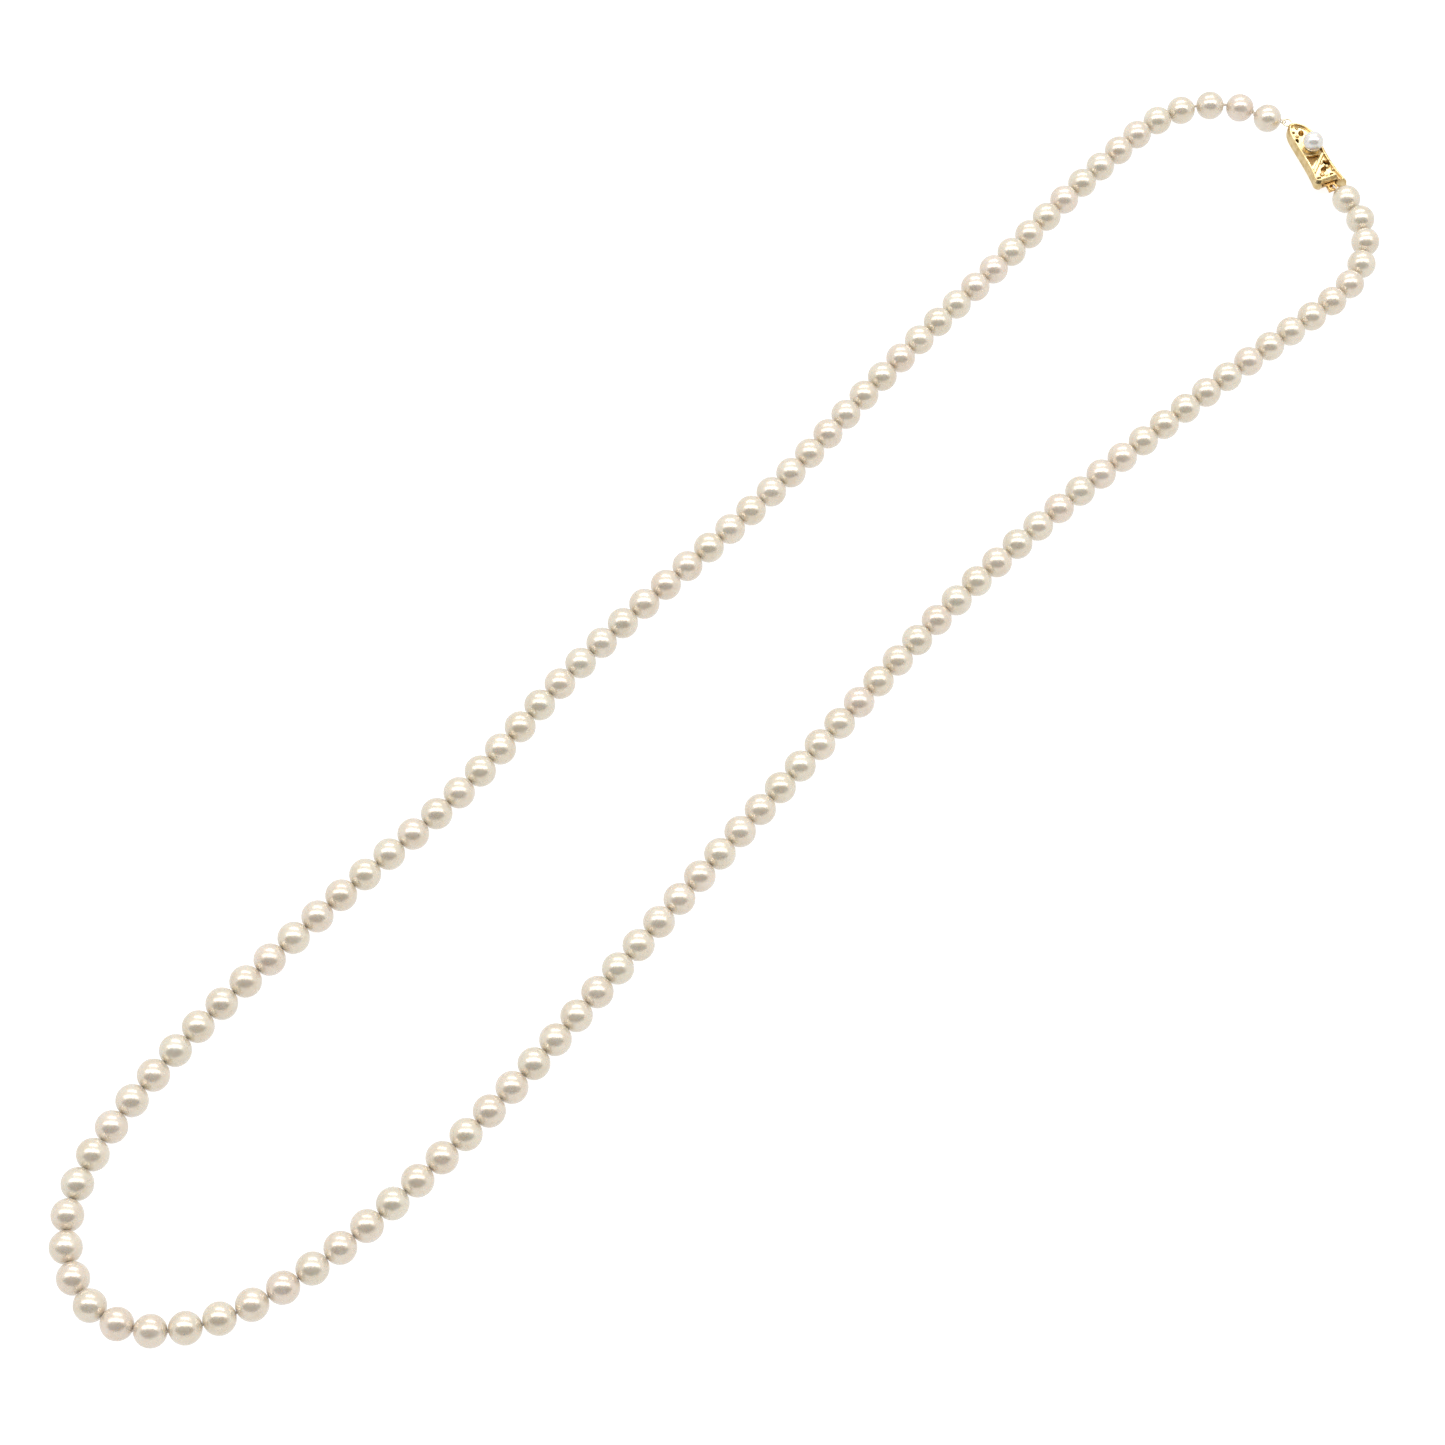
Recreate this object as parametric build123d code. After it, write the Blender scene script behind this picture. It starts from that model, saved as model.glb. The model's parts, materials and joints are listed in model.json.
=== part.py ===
from build123d import *
import math
import os

# A single-strand pearl necklace laid out flat and closed, in millimetres.
# +Y runs along the loop toward the clasp, +Z is up, and the origin lies on the
# resting surface, below the middle of the strand's outline.

# ---------------------------------------------------------------- pearls
PEARL_COUNT = 122
FRONT_DIAMETER = 6.52  # the largest pearl, at the front of the neck
BACK_DIAMETER = 6.3  # the smallest pearls, beside the clasp
FRONT_PEARL = 63  # counted from the ring end of the clasp
DRILL_DIAMETER = 0.8
PEARLS_PER_NODE = 3
LEFT_TOP_PEARLS = 56  # pearls 0 to 55 lie on the left side
FRONT_PEARLS = 15  # pearls 56 to 70 lie round the front

# ---------------------------------------------------------------- silk
THREAD_DIAMETER = 0.5  # the doubled silk that fills most of each drilled hole
KNOT_DIAMETER = 0.76
KNOT_GAP = 0.6  # the room a knot takes between two pearls
KNOTTED_GAPS = 3  # knotted gaps, all beside the ring end of the clasp
KNOT_CLEARANCE = 0.04  # on the diameter, round the thread
LOOP_SILK_DIAMETER = 0.3
LOOP_BEND_RADIUS = 0.6
LOOP_LEG_OFFSET = 0.17  # each leg's distance from the axis of the drilled hole
LOOP_LEG_LENGTH = 1.0  # the straight part of a leg, inside the pearl
LOOP_FLARE_START = 0.15  # how deep inside the hole the legs begin to spread
LOOP_FLARE_RADIUS = 0.3
STRAIGHT_TURN = 1.2  # degrees

# ---------------------------------------------------------------- clasp
CLASP_ANGLE = -23.8  # from +X, looking from the ring end to the tongue end
CLASP_CORNER = (-3.9, 189.6)  # where the clasp's own origin lies in the layout
CLASP_BASE = 1.4  # the silk holds the clasp clear of the resting surface
PLATE_TOP = 1.9
PLATE_INSET = 0.75
WALL_TOP = 4.2
RIM_TOP = 4.85
BELLY_HEIGHT = 2.7
BEVEL_START = 4.2
WALL_LEVELS = [(PLATE_TOP, 0.55), (BELLY_HEIGHT, 0.1), (BEVEL_START, 0.25), (RIM_TOP, 0.75)]
RIM_WIDTH = 1.1  # from the widest outline in to the recessed top
WALL_LEAN = 0.15  # how far the wall leans in at the height of the ring
RING_END = -1.15
MOUTH_END = 17.35
RING_CENTRE = -2.3
RING_RADIUS = 1.0
RING_WIRE = 0.36
RING_FOOT = (0.6, 0.5)  # width and height
PEARL_ON_CLASP_DIAMETER = 4.6
PEARL_ON_CLASP = (7.0, 1.05, 6.1)
PEG_DIAMETER = 0.8
PEG_REACH = 0.4  # how far the peg stands past the middle of the pearl
PEG_CLEARANCE = 0.04
COLLAR_RADIUS = 1.95
COLLAR_HEIGHT = 0.4
RIDGE_MIDDLE = (11.75, -0.1)
RIDGE_ANGLE = -48.0
RIDGE_SIZE = (6.2, 0.65, 0.5)
CEMENT = 0.03  # the cement between a pearl and its seat
CHANNEL_HALF_WIDTH = 1.95
CHANNEL_START = 3.6
CHANNEL_CEILING = 3.6

# ---------------------------------------------------------------- tongue
TONGUE_THICKNESS = 0.4
TONGUE_HALF_WIDTH = 1.6
TONGUE_TIP = 5.2
TONGUE_SHOULDER = 16.9
EYE_CENTRE = 18.3
EYE_RADIUS = 1.1
EYE_HOLE_RADIUS = 0.65
LEAF_THICKNESS = 0.3
LEAF_HALF_WIDTH = 1.4
LEAF_SHOULDER = 14.3
LEAF_DROP = 0.6  # from the fold down to the shoulder
FOLD_INSET = 0.4  # from the tip back to where the two halves part
FOLD_GAP = 0.03
TAB_HALF_WIDTH = 0.75
TAB_END = 18.7
TAB_NOSE = 0.9  # the length of the tab's turned-down nose
TAB_DROP = 0.4
TAB_LEAN = 0.15
CATCH_START = 14.45
CATCH_LENGTH = 0.7
CATCH_TOP = 2.35
CATCH_CLEARANCE = 0.15  # between the tab and each lug

# The thread line leaves the clasp at the height of the last pearls' centres.
LINE_HEIGHT = BACK_DIAMETER / 2
SILK_HEIGHT = (FRONT_DIAMETER + BACK_DIAMETER) / 4
LINE_GAP = 0.27  # between the last pearl and the ring wire or the eye's rim

# Middle points of the strand's route, chosen by hand, from the ring end of the clasp
# round the front to the tongue end. The two end points follow from the clasp.
ROUTE = [
    (-21.5, 183.8),
    (-27.6, 175.3),
    (-30.2, 159.0),
    (-30.8, 140.0),
    (-30.5, 118.0),
    (-30.7, 95.0),
    (-30.2, 64.0),
    (-29.2, 42.0),
    (-30.4, 8.0),
    (-31.3, -16.0),
    (-30.9, -36.0),
    (-29.3, -62.0),
    (-30.7, -88.0),
    (-31.8, -114.0),
    (-32.1, -135.0),
    (-30.6, -154.0),
    (-27.3, -170.0),
    (-21.8, -180.5),
    (-13.9, -186.9),
    (-5.0, -189.3),
    (3.7, -186.9),
    (10.8, -180.3),
    (16.0, -171.0),
    (20.4, -156.0),
    (23.0, -132.0),
    (23.6, -110.0),
    (22.0, -72.0),
    (20.1, -33.0),
    (18.8, 6.0),
    (18.2, 32.0),
    (19.5, 65.0),
    (23.0, 98.0),
    (27.5, 130.0),
    (31.2, 152.0),
    (31.8, 164.5),
    (28.3, 173.5),
]
RING_APPROACH = 25.0  # the direction from the first pearl to the ring, from +X
EYE_APPROACH = 170.0  # the direction from the last pearl to the eye, from +X


def polar(length, degrees):
    """A flat vector of a length at an angle from +X."""
    turn = math.radians(degrees)
    return Vector(length * math.cos(turn), length * math.sin(turn))


def clasp_point(along, across=0.0, height=0.0):
    """A point of the clasp's own frame, in the layout's frame."""
    start = Vector(*CLASP_CORNER)
    return start + polar(along, CLASP_ANGLE) + polar(across, CLASP_ANGLE + 90) + Vector(0, 0, height)


def pearl_diameter(index):
    """Pearls shrink slowly from the front toward both ends of the clasp."""
    half = FRONT_PEARL if index < FRONT_PEARL else PEARL_COUNT - 1 - FRONT_PEARL
    share = (index - FRONT_PEARL) / half
    return FRONT_DIAMETER - (FRONT_DIAMETER - BACK_DIAMETER) * share**2


def is_knotted(gap):
    """Gap n lies between pearl n and pearl n + 1."""
    return gap < KNOTTED_GAPS


DIAMETERS = [pearl_diameter(i) for i in range(PEARL_COUNT)]
TOUCHING = [(DIAMETERS[i] + DIAMETERS[i + 1]) / 2 for i in range(PEARL_COUNT - 1)]

# The silk line from clasp end to clasp end.
first_reach = RING_RADIUS + RING_WIRE / 2 + LINE_GAP + BACK_DIAMETER / 2
last_reach = EYE_RADIUS + LINE_GAP + BACK_DIAMETER / 2
first_pearl = clasp_point(RING_CENTRE) - polar(first_reach, RING_APPROACH)
last_pearl = clasp_point(EYE_CENTRE) - polar(last_reach, EYE_APPROACH)
strand_line = Spline(
    first_pearl,
    *[Vector(x, y) for x, y in ROUTE],
    last_pearl,
)

# What the pearls and knots don't fill is shared out as slack between the pearls.
knots_room = KNOTTED_GAPS * KNOT_GAP
plain_gaps = PEARL_COUNT - 1 - KNOTTED_GAPS
PLAIN_GAP = (strand_line.length - sum(TOUCHING) - knots_room) / plain_gaps


def place_pearls():
    """Pearl centres along the line, each resting on the surface."""
    travel = 0.0
    flat = [strand_line @ 0]
    for gap, pitch in enumerate(TOUCHING):
        travel += pitch + (KNOT_GAP if is_knotted(gap) else PLAIN_GAP)
        flat.append(strand_line.position_at(travel, position_mode=PositionMode.LENGTH))
    left = min(p.X for p in flat) - FRONT_DIAMETER / 2
    right = max(p.X for p in flat) + FRONT_DIAMETER / 2
    front = min(p.Y for p in flat) - FRONT_DIAMETER / 2
    back = max(p.Y for p in flat) + FRONT_DIAMETER / 2
    middle = Vector((left + right) / 2, (front + back) / 2)
    return middle, [p - middle + Vector(0, 0, d / 2) for p, d in zip(flat, DIAMETERS)]


LAYOUT_MIDDLE, CENTRES = place_pearls()
CLASP_PLACE = Location(clasp_point(0) - LAYOUT_MIDDLE, (0, 0, CLASP_ANGLE))
RING_POINT = clasp_point(RING_CENTRE, 0, LINE_HEIGHT) - LAYOUT_MIDDLE
EYE_POINT = clasp_point(EYE_CENTRE, 0, LINE_HEIGHT) - LAYOUT_MIDDLE


def gap_point(gap):
    """The middle of the gap between pearl gap and pearl gap + 1, where the silk bends."""
    ahead = (CENTRES[gap + 1] - CENTRES[gap]).normalized()
    near = CENTRES[gap] + ahead * (DIAMETERS[gap] / 2)
    far = CENTRES[gap + 1] - ahead * (DIAMETERS[gap + 1] / 2)
    return (near + far) / 2


def drill_direction(index):
    """The direction of a pearl's drilled hole: along the strand, or at its ends to the clasp."""
    if index == 0:
        along = CENTRES[0] - RING_POINT
    elif index == PEARL_COUNT - 1:
        along = EYE_POINT - CENTRES[index]
    else:
        into = (CENTRES[index] - CENTRES[index - 1]).normalized()
        out = (CENTRES[index + 1] - CENTRES[index]).normalized()
        along = into + out
    return Vector(along.X, along.Y, 0).normalized()


def bored_ball(centre, diameter, bore, along):
    """A ball with a straight bore through its middle."""
    radius = diameter / 2
    half_length = math.sqrt(radius**2 - (bore / 2) ** 2)
    wall = Line((bore / 2, -half_length), (bore / 2, half_length))
    outside = ThreePointArc(wall @ 1, (radius, 0), wall @ 0)
    half_section = Plane.XZ * make_face(Curve() + [wall, outside])
    return Plane(origin=centre, z_dir=along) * revolve(half_section, Axis.Z)


def save(name, *solids):
    """One node: one or more separate solids in one file."""
    flat = [solid for shape in solids for solid in shape.solids()]
    export_step(flat[0] if len(flat) == 1 else Compound(flat), f"parts/{name}.step")


def save_clasp(name, *solids):
    """One node drawn in the clasp's own frame, set down in its place."""
    save(name, *[CLASP_PLACE * solid for solid in solids])


# ---------------------------------------------------------------- strand
def strand_nodes():
    """Names of the pearl nodes with the pearls in each, counted up from the front."""
    nodes = {}
    front_end = LEFT_TOP_PEARLS + FRONT_PEARLS
    for number, first in enumerate(range(LEFT_TOP_PEARLS, front_end, PEARLS_PER_NODE), 1):
        nodes[f"pearls_front_{number}"] = list(range(first, first + PEARLS_PER_NODE))
    for number, last in enumerate(range(LEFT_TOP_PEARLS - 1, -1, -PEARLS_PER_NODE), 1):
        nodes[f"pearls_left_{number}"] = list(range(max(last - PEARLS_PER_NODE + 1, 0), last + 1))
    for number, first in enumerate(range(front_end, PEARL_COUNT, PEARLS_PER_NODE), 1):
        nodes[f"pearls_right_{number}"] = list(range(first, min(first + PEARLS_PER_NODE, PEARL_COUNT)))
    return nodes


STRAND_NODES = strand_nodes()


def hole_mouths(gap):
    """The middles of the two drilled openings that face each other across a gap."""
    leaving = CENTRES[gap] + drill_direction(gap) * (DIAMETERS[gap] / 2)
    entering = CENTRES[gap + 1] - drill_direction(gap + 1) * (DIAMETERS[gap + 1] / 2)
    return [Vector(mouth.X, mouth.Y, SILK_HEIGHT) for mouth in (leaving, entering)]


def thread_corners():
    """Where the silk turns: at the mouths of the holes in a bend, or once in a straight gap."""
    first, last = CENTRES[0], CENTRES[-1]
    corners = [Vector(first.X, first.Y, SILK_HEIGHT)]
    straight_before = False
    for gap in range(PEARL_COUNT - 1):
        chord = CENTRES[gap + 1] - CENTRES[gap]
        turns = [chord.get_angle(drill_direction(gap)), chord.get_angle(drill_direction(gap + 1))]
        if max(turns) > STRAIGHT_TURN or is_knotted(gap):
            corners += hole_mouths(gap)
            straight_before = False
        elif straight_before:
            straight_before = False
        else:
            middle = gap_point(gap)
            corners.append(Vector(middle.X, middle.Y, SILK_HEIGHT))
            straight_before = True
    return corners + [Vector(last.X, last.Y, SILK_HEIGHT)]


def silk_thread():
    """The silk inside the pearls, straight in each hole with a small bend in each gap."""
    path = Polyline(*thread_corners())
    section = Plane(origin=path @ 0, z_dir=path % 0) * Circle(THREAD_DIAMETER / 2)
    return sweep(section, path, transition=Transition.RIGHT)


def knot(gap):
    """A silk knot pulled up round the thread in the gap between two pearls."""
    leaving, entering = hole_mouths(gap)
    middle = (leaving + entering) / 2
    return bored_ball(middle, KNOT_DIAMETER, THREAD_DIAMETER + KNOT_CLEARANCE, entering - leaving)


def silk_loop(inside, hold):
    """A hairpin of silk from inside the end pearl round the wire or rim at hold."""
    ahead = Vector(hold.X - inside.X, hold.Y - inside.Y, 0)
    mouth = BACK_DIAMETER / 2 - LOOP_FLARE_START
    centre = ahead.length + 0.05
    span = math.hypot(centre - mouth, LOOP_LEG_OFFSET)
    lean = math.asin(LOOP_BEND_RADIUS / span) - math.atan2(LOOP_LEG_OFFSET, centre - mouth)
    touch = (centre - LOOP_BEND_RADIUS * math.sin(lean), LOOP_BEND_RADIUS * math.cos(lean))
    start = (mouth - LOOP_LEG_LENGTH, LOOP_LEG_OFFSET)
    upper = FilletPolyline(start, (mouth, LOOP_LEG_OFFSET), touch, radius=LOOP_FLARE_RADIUS)
    bend = ThreePointArc(touch, (centre + LOOP_BEND_RADIUS, 0), (touch[0], -touch[1]))
    side = Plane(origin=inside, x_dir=ahead, z_dir=ahead.cross(Vector(0, 0, 1)))
    path = side * (Curve() + [upper, bend, mirror(upper, Plane.XZ)])
    section = Plane(origin=path @ 0, z_dir=path % 0) * Circle(LOOP_SILK_DIAMETER / 2)
    return sweep(section, path)


# ---------------------------------------------------------------- clasp body
def clasp_outline(height, inset=0.0):
    """The S-curved plan of the casting, wide at the pearl and flared at the mouth."""
    ring_end = RING_END + inset
    mouth = MOUTH_END - inset
    near_points = [(0.9, -2.1), (4.5, -2.75), (9.0, -3.0), (13.0, -3.35), (mouth - 1.6, -3.7)]
    far_points = [(mouth - 1.4, 3.25), (12.5, 3.2), (9.0, 3.5), (5.5, 3.85), (2.4, 3.6)]
    near_side = Spline((ring_end, -0.45), *[(u, v + inset) for u, v in near_points])
    corner_end = (mouth + 0.05, -2.75 + inset)
    near_corner = ThreePointArc(near_side @ 1, (mouth - 0.42, -3.58 + inset), corner_end)
    front = Polyline(corner_end, (mouth - 0.1, -1.9), (mouth, 1.7), (mouth + 1.75, 3.05 - inset))
    far_corner = ThreePointArc(front @ 1, (mouth + 1.82, 3.38 - inset), (mouth + 1.5, 3.5 - inset))
    far_side = Spline(far_corner @ 1, *[(u, v - inset) for u, v in far_points], (ring_end, 0.45))
    ring_side = Line(far_side @ 1, near_side @ 0)
    loop = Curve() + [near_side, near_corner, front, far_corner, far_side, ring_side]
    return Pos(0, 0, height) * make_face(loop)


def stacked(levels):
    """A casting whose outline draws in from level to level: pairs of height and inset."""
    body = Part()
    for (low, low_inset), (high, high_inset) in zip(levels, levels[1:]):
        sections = [clasp_outline(low, low_inset), clasp_outline(high, high_inset)]
        body += loft(sections, ruled=True)
    return body


def rounded_window(corners, radius):
    """A window with straight sides and round corners."""
    shape = make_face(Polyline(*corners, close=True))
    return fillet(shape.vertices(), radius)


def leaf_window(length, width):
    """A pointed leaf between two arcs."""
    tip = length / 2
    upper = ThreePointArc((-tip, 0), (0, width / 2), (tip, 0))
    lower = ThreePointArc((tip, 0), (0, -width / 2), (-tip, 0))
    return make_face(Curve() + [upper, lower])


def clasp_windows():
    """The openwork in the top of the casting."""
    return [
        Pos(2.5, 0.75) * Rot(0, 0, -35) * Ellipse(0.85, 0.55),
        Pos(4.1, -1.25) * Rot(0, 0, -35) * Ellipse(0.7, 0.42),
        Pos(1.6, -0.75) * Circle(0.3),
        rounded_window([(8.7, -1.85), (9.6, 1.6), (12.0, -2.05)], 0.18),
        Pos(12.3, 1.65) * Rot(0, 0, 20) * leaf_window(1.9, 1.1),
        Pos(13.8, 0.1) * Rot(0, 0, -45) * leaf_window(1.9, 1.1),
        Pos(15.6, -2.15) * Rot(0, 0, -70) * leaf_window(1.5, 0.9),
        Pos(15.7, 1.2) * Circle(0.38),
    ]


def clasp_beads():
    """Round grains cast on the top between the windows."""
    places = [
        (13.4, 1.15, 0.6),
        (15.0, -0.9, 0.5),
        (14.7, 2.0, 0.45),
        (15.9, 0.15, 0.42),
        (12.1, 0.55, 0.3),
        (13.1, -1.6, 0.4),
        (3.0, -0.6, 0.36),
        (0.9, 0.5, 0.34),
    ]
    return [Pos(u, v, WALL_TOP) * Sphere(size) for u, v, size in places]


def clasp_housing():
    """The cast cover: curved walls, bevelled rim, openwork top and the tongue channel."""
    body = stacked(WALL_LEVELS)
    body -= extrude(clasp_outline(WALL_TOP, RIM_WIDTH), RIM_TOP)
    u, v = RIDGE_MIDDLE
    bar = Box(*RIDGE_SIZE, align=(Align.CENTER, Align.CENTER, Align.MIN))
    ridge = Pos(u, v, WALL_TOP - 0.05) * Rot(0, 0, RIDGE_ANGLE) * bar
    body += ridge & extrude(clasp_outline(PLATE_TOP, RIM_WIDTH / 2), RIM_TOP)
    for bead in clasp_beads():
        body += bead
    channel_size = (2 * MOUTH_END, 2 * CHANNEL_HALF_WIDTH, CHANNEL_CEILING - PLATE_TOP)
    channel = Box(*channel_size, align=(Align.MIN, Align.CENTER, Align.MIN))
    body -= Pos(CHANNEL_START, 0, PLATE_TOP) * channel
    for window in clasp_windows():
        body -= Pos(0, 0, BELLY_HEIGHT) * extrude(window, RIM_TOP)
    u, v, w = PEARL_ON_CLASP
    body -= Pos(u, v, w) * Sphere(PEARL_ON_CLASP_DIAMETER / 2 + CEMENT)
    return body


def clasp_back_plate():
    """The flat plate soldered under the walls."""
    return extrude(clasp_outline(CLASP_BASE, PLATE_INSET), PLATE_TOP - CLASP_BASE)


def clasp_catch():
    """Two lugs on the back plate that hold the leaf's shoulder, with a slot for its tab."""
    gap = TAB_HALF_WIDTH + CATCH_CLEARANCE
    width = CHANNEL_HALF_WIDTH - gap
    lug = Box(CATCH_LENGTH, width, CATCH_TOP - PLATE_TOP, align=(Align.MIN, Align.MIN, Align.MIN))
    near = Pos(CATCH_START, gap, PLATE_TOP) * lug
    return near, mirror(near, Plane.XZ)


def clasp_ring():
    """The soldered wire ring that the silk loops through, with its short foot."""
    ring = Pos(RING_CENTRE, 0, LINE_HEIGHT) * Torus(RING_RADIUS, RING_WIRE / 2)
    foot_start = RING_CENTRE + RING_RADIUS - RING_WIRE / 4
    foot_length = RING_END + WALL_LEAN - foot_start
    foot = Box(foot_length, *RING_FOOT, align=(Align.MIN, Align.CENTER, Align.CENTER))
    return ring + Pos(foot_start, 0, LINE_HEIGHT) * foot


def clasp_pearl_cup():
    """A thin collar on the top that the clasp's pearl is cemented into."""
    u, v, w = PEARL_ON_CLASP
    disc = Cylinder(COLLAR_RADIUS, COLLAR_HEIGHT, align=(Align.CENTER, Align.CENTER, Align.MIN))
    collar = Pos(u, v, WALL_TOP) * disc
    inside_rim = extrude(clasp_outline(WALL_TOP, RIM_WIDTH + 0.05), RIM_TOP)
    seat = Pos(u, v, w) * Sphere(PEARL_ON_CLASP_DIAMETER / 2 + CEMENT)
    return (collar & inside_rim) - seat


def clasp_peg():
    """The pin that stands in the cup and holds the half-drilled pearl."""
    u, v, w = PEARL_ON_CLASP
    foot = w - PEARL_ON_CLASP_DIAMETER / 2 + 0.01
    height = w + PEG_REACH - foot
    peg = Cylinder(PEG_DIAMETER / 2, height, align=(Align.CENTER, Align.CENTER, Align.MIN))
    return Pos(u, v, foot) * peg


def clasp_pearl():
    """The smaller pearl set on top of the clasp, drilled halfway from below."""
    u, v, w = PEARL_ON_CLASP
    bore = PEG_DIAMETER / 2 + PEG_CLEARANCE
    drill = Cylinder(bore, 2 * PEARL_ON_CLASP_DIAMETER, align=(Align.CENTER, Align.CENTER, Align.MAX))
    hole = Pos(u, v, w + PEG_REACH + PEG_CLEARANCE) * drill
    return Pos(u, v, w) * Sphere(PEARL_ON_CLASP_DIAMETER / 2) - hole


# ---------------------------------------------------------------- tongue
def tongue_plate():
    """The flat half of the tongue, ending in the eye outside the mouth."""
    half = TONGUE_HALF_WIDTH
    neck = polar(EYE_RADIUS, 120)
    blade = Polyline(
        (TONGUE_TIP + FOLD_INSET, -half),
        (TONGUE_SHOULDER, -half),
        (EYE_CENTRE + neck.X, -neck.Y),
        (EYE_CENTRE + neck.X, neck.Y),
        (TONGUE_SHOULDER, half),
        (TONGUE_TIP + FOLD_INSET, half),
        close=True,
    )
    flat = make_face(blade) + Pos(EYE_CENTRE, 0) * Circle(EYE_RADIUS)
    flat -= Pos(EYE_CENTRE, 0) * Circle(EYE_HOLE_RADIUS)
    return Pos(0, 0, LINE_HEIGHT - TONGUE_THICKNESS / 2) * extrude(flat, TONGUE_THICKNESS)


def tongue_leaf():
    """The sprung half of the tongue, sloping down from the fold to its shoulder, and its tab."""
    top = LINE_HEIGHT - TONGUE_THICKNESS / 2 - FOLD_GAP
    side = Plane(origin=(0, 0, 0), x_dir=(1, 0, 0), z_dir=(0, -1, 0))
    slope = Polyline(
        (TONGUE_TIP + FOLD_INSET, top),
        (LEAF_SHOULDER, top - LEAF_DROP),
        (LEAF_SHOULDER, top - LEAF_DROP - LEAF_THICKNESS),
        (TONGUE_TIP + FOLD_INSET, top - LEAF_THICKNESS),
        close=True,
    )
    leaf = extrude(side * make_face(slope), LEAF_HALF_WIDTH, both=True)
    tab_top = top - LEAF_DROP
    tab = Polyline(
        (LEAF_SHOULDER - 0.2, tab_top),
        (TAB_END - TAB_NOSE, tab_top),
        (TAB_END, tab_top - TAB_DROP),
        (TAB_END - TAB_LEAN, tab_top - TAB_DROP - LEAF_THICKNESS),
        (TAB_END - TAB_NOSE - TAB_LEAN, tab_top - LEAF_THICKNESS),
        (LEAF_SHOULDER - 0.2, tab_top - LEAF_THICKNESS),
        close=True,
    )
    return leaf + extrude(side * make_face(tab), TAB_HALF_WIDTH, both=True)


# ---------------------------------------------------------------- write the nodes
os.makedirs("parts", exist_ok=True)
for name, members in STRAND_NODES.items():
    save(name, *[bored_ball(CENTRES[i], DIAMETERS[i], DRILL_DIAMETER, drill_direction(i)) for i in members])

save("silk_thread", silk_thread())
save("silk_knots_left", *[knot(gap) for gap in range(KNOTTED_GAPS)])
ring_ahead = (RING_POINT - CENTRES[0]).normalized()
eye_ahead = (EYE_POINT - CENTRES[-1]).normalized()
eye_rim_middle = (EYE_RADIUS + EYE_HOLE_RADIUS) / 2
save("silk_loop_left", silk_loop(CENTRES[0], RING_POINT - ring_ahead * RING_RADIUS))
save("silk_loop_right", silk_loop(CENTRES[-1], EYE_POINT - eye_ahead * eye_rim_middle))

save_clasp("clasp_housing", clasp_housing())
save_clasp("clasp_back_plate", clasp_back_plate())
save_clasp("clasp_catch_lugs", *clasp_catch())
save_clasp("clasp_ring", clasp_ring())
save_clasp("clasp_pearl_cup", clasp_pearl_cup())
save_clasp("clasp_pearl_peg", clasp_peg())
save_clasp("clasp_pearl", clasp_pearl())
save_clasp("tongue_plate", tongue_plate())
save_clasp("tongue_leaf", tongue_leaf())

print(f"strand {strand_line.length:.1f} mm, slack between pearls {PLAIN_GAP:.3f} mm")
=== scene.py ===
import json
import math
import random
from collections import namedtuple

import bmesh
import bpy
from mathutils import Matrix, Vector


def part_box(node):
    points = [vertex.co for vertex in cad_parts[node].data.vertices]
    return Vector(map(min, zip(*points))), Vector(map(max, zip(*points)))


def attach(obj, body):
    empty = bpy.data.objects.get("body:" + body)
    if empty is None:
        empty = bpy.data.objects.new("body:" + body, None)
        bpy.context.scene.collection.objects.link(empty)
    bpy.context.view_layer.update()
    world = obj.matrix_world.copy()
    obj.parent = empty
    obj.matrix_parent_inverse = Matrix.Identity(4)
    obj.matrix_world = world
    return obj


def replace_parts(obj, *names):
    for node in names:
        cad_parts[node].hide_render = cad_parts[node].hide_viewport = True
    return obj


# Looks of a single-strand pearl necklace with a gold openwork box clasp.
# +Y runs from the front of the necklace toward the clasp and +Z up. The necklace's own sizes are
# in millimetres and meet Blender's metres through MM; the camera, the studio and the materials
# are in metres.

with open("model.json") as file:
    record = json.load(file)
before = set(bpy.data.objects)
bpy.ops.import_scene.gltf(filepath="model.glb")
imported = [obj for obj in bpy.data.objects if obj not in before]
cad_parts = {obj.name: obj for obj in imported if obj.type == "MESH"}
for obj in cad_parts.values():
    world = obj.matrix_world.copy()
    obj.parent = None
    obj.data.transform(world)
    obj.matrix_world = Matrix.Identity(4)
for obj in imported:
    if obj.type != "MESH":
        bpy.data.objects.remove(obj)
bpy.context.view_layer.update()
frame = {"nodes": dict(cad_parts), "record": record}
nodes = frame["nodes"]
node_body = {n: b for b, members in frame["record"]["behaviour"]["bodies"].items() for n in members}
scene = bpy.context.scene
MM = 0.001

# ---------------------------------------------------------------- camera
CAMERA_AT = Vector((0.24392, -0.29400, 0.64560))
CAMERA_AIM = Vector((0.00059, -0.01408, 0.00320))
camera = bpy.data.objects.new("camera", bpy.data.cameras.new("camera"))
scene.collection.objects.link(camera)
camera.location = CAMERA_AT
camera.rotation_euler = (CAMERA_AIM - CAMERA_AT).to_track_quat("-Z", "Y").to_euler()
camera.data.sensor_width = 36
camera.data.lens = 89.2
camera.data.clip_start = 0.01
camera.data.clip_end = 50
scene.camera = camera
scene.view_settings.view_transform = "Standard"

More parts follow.
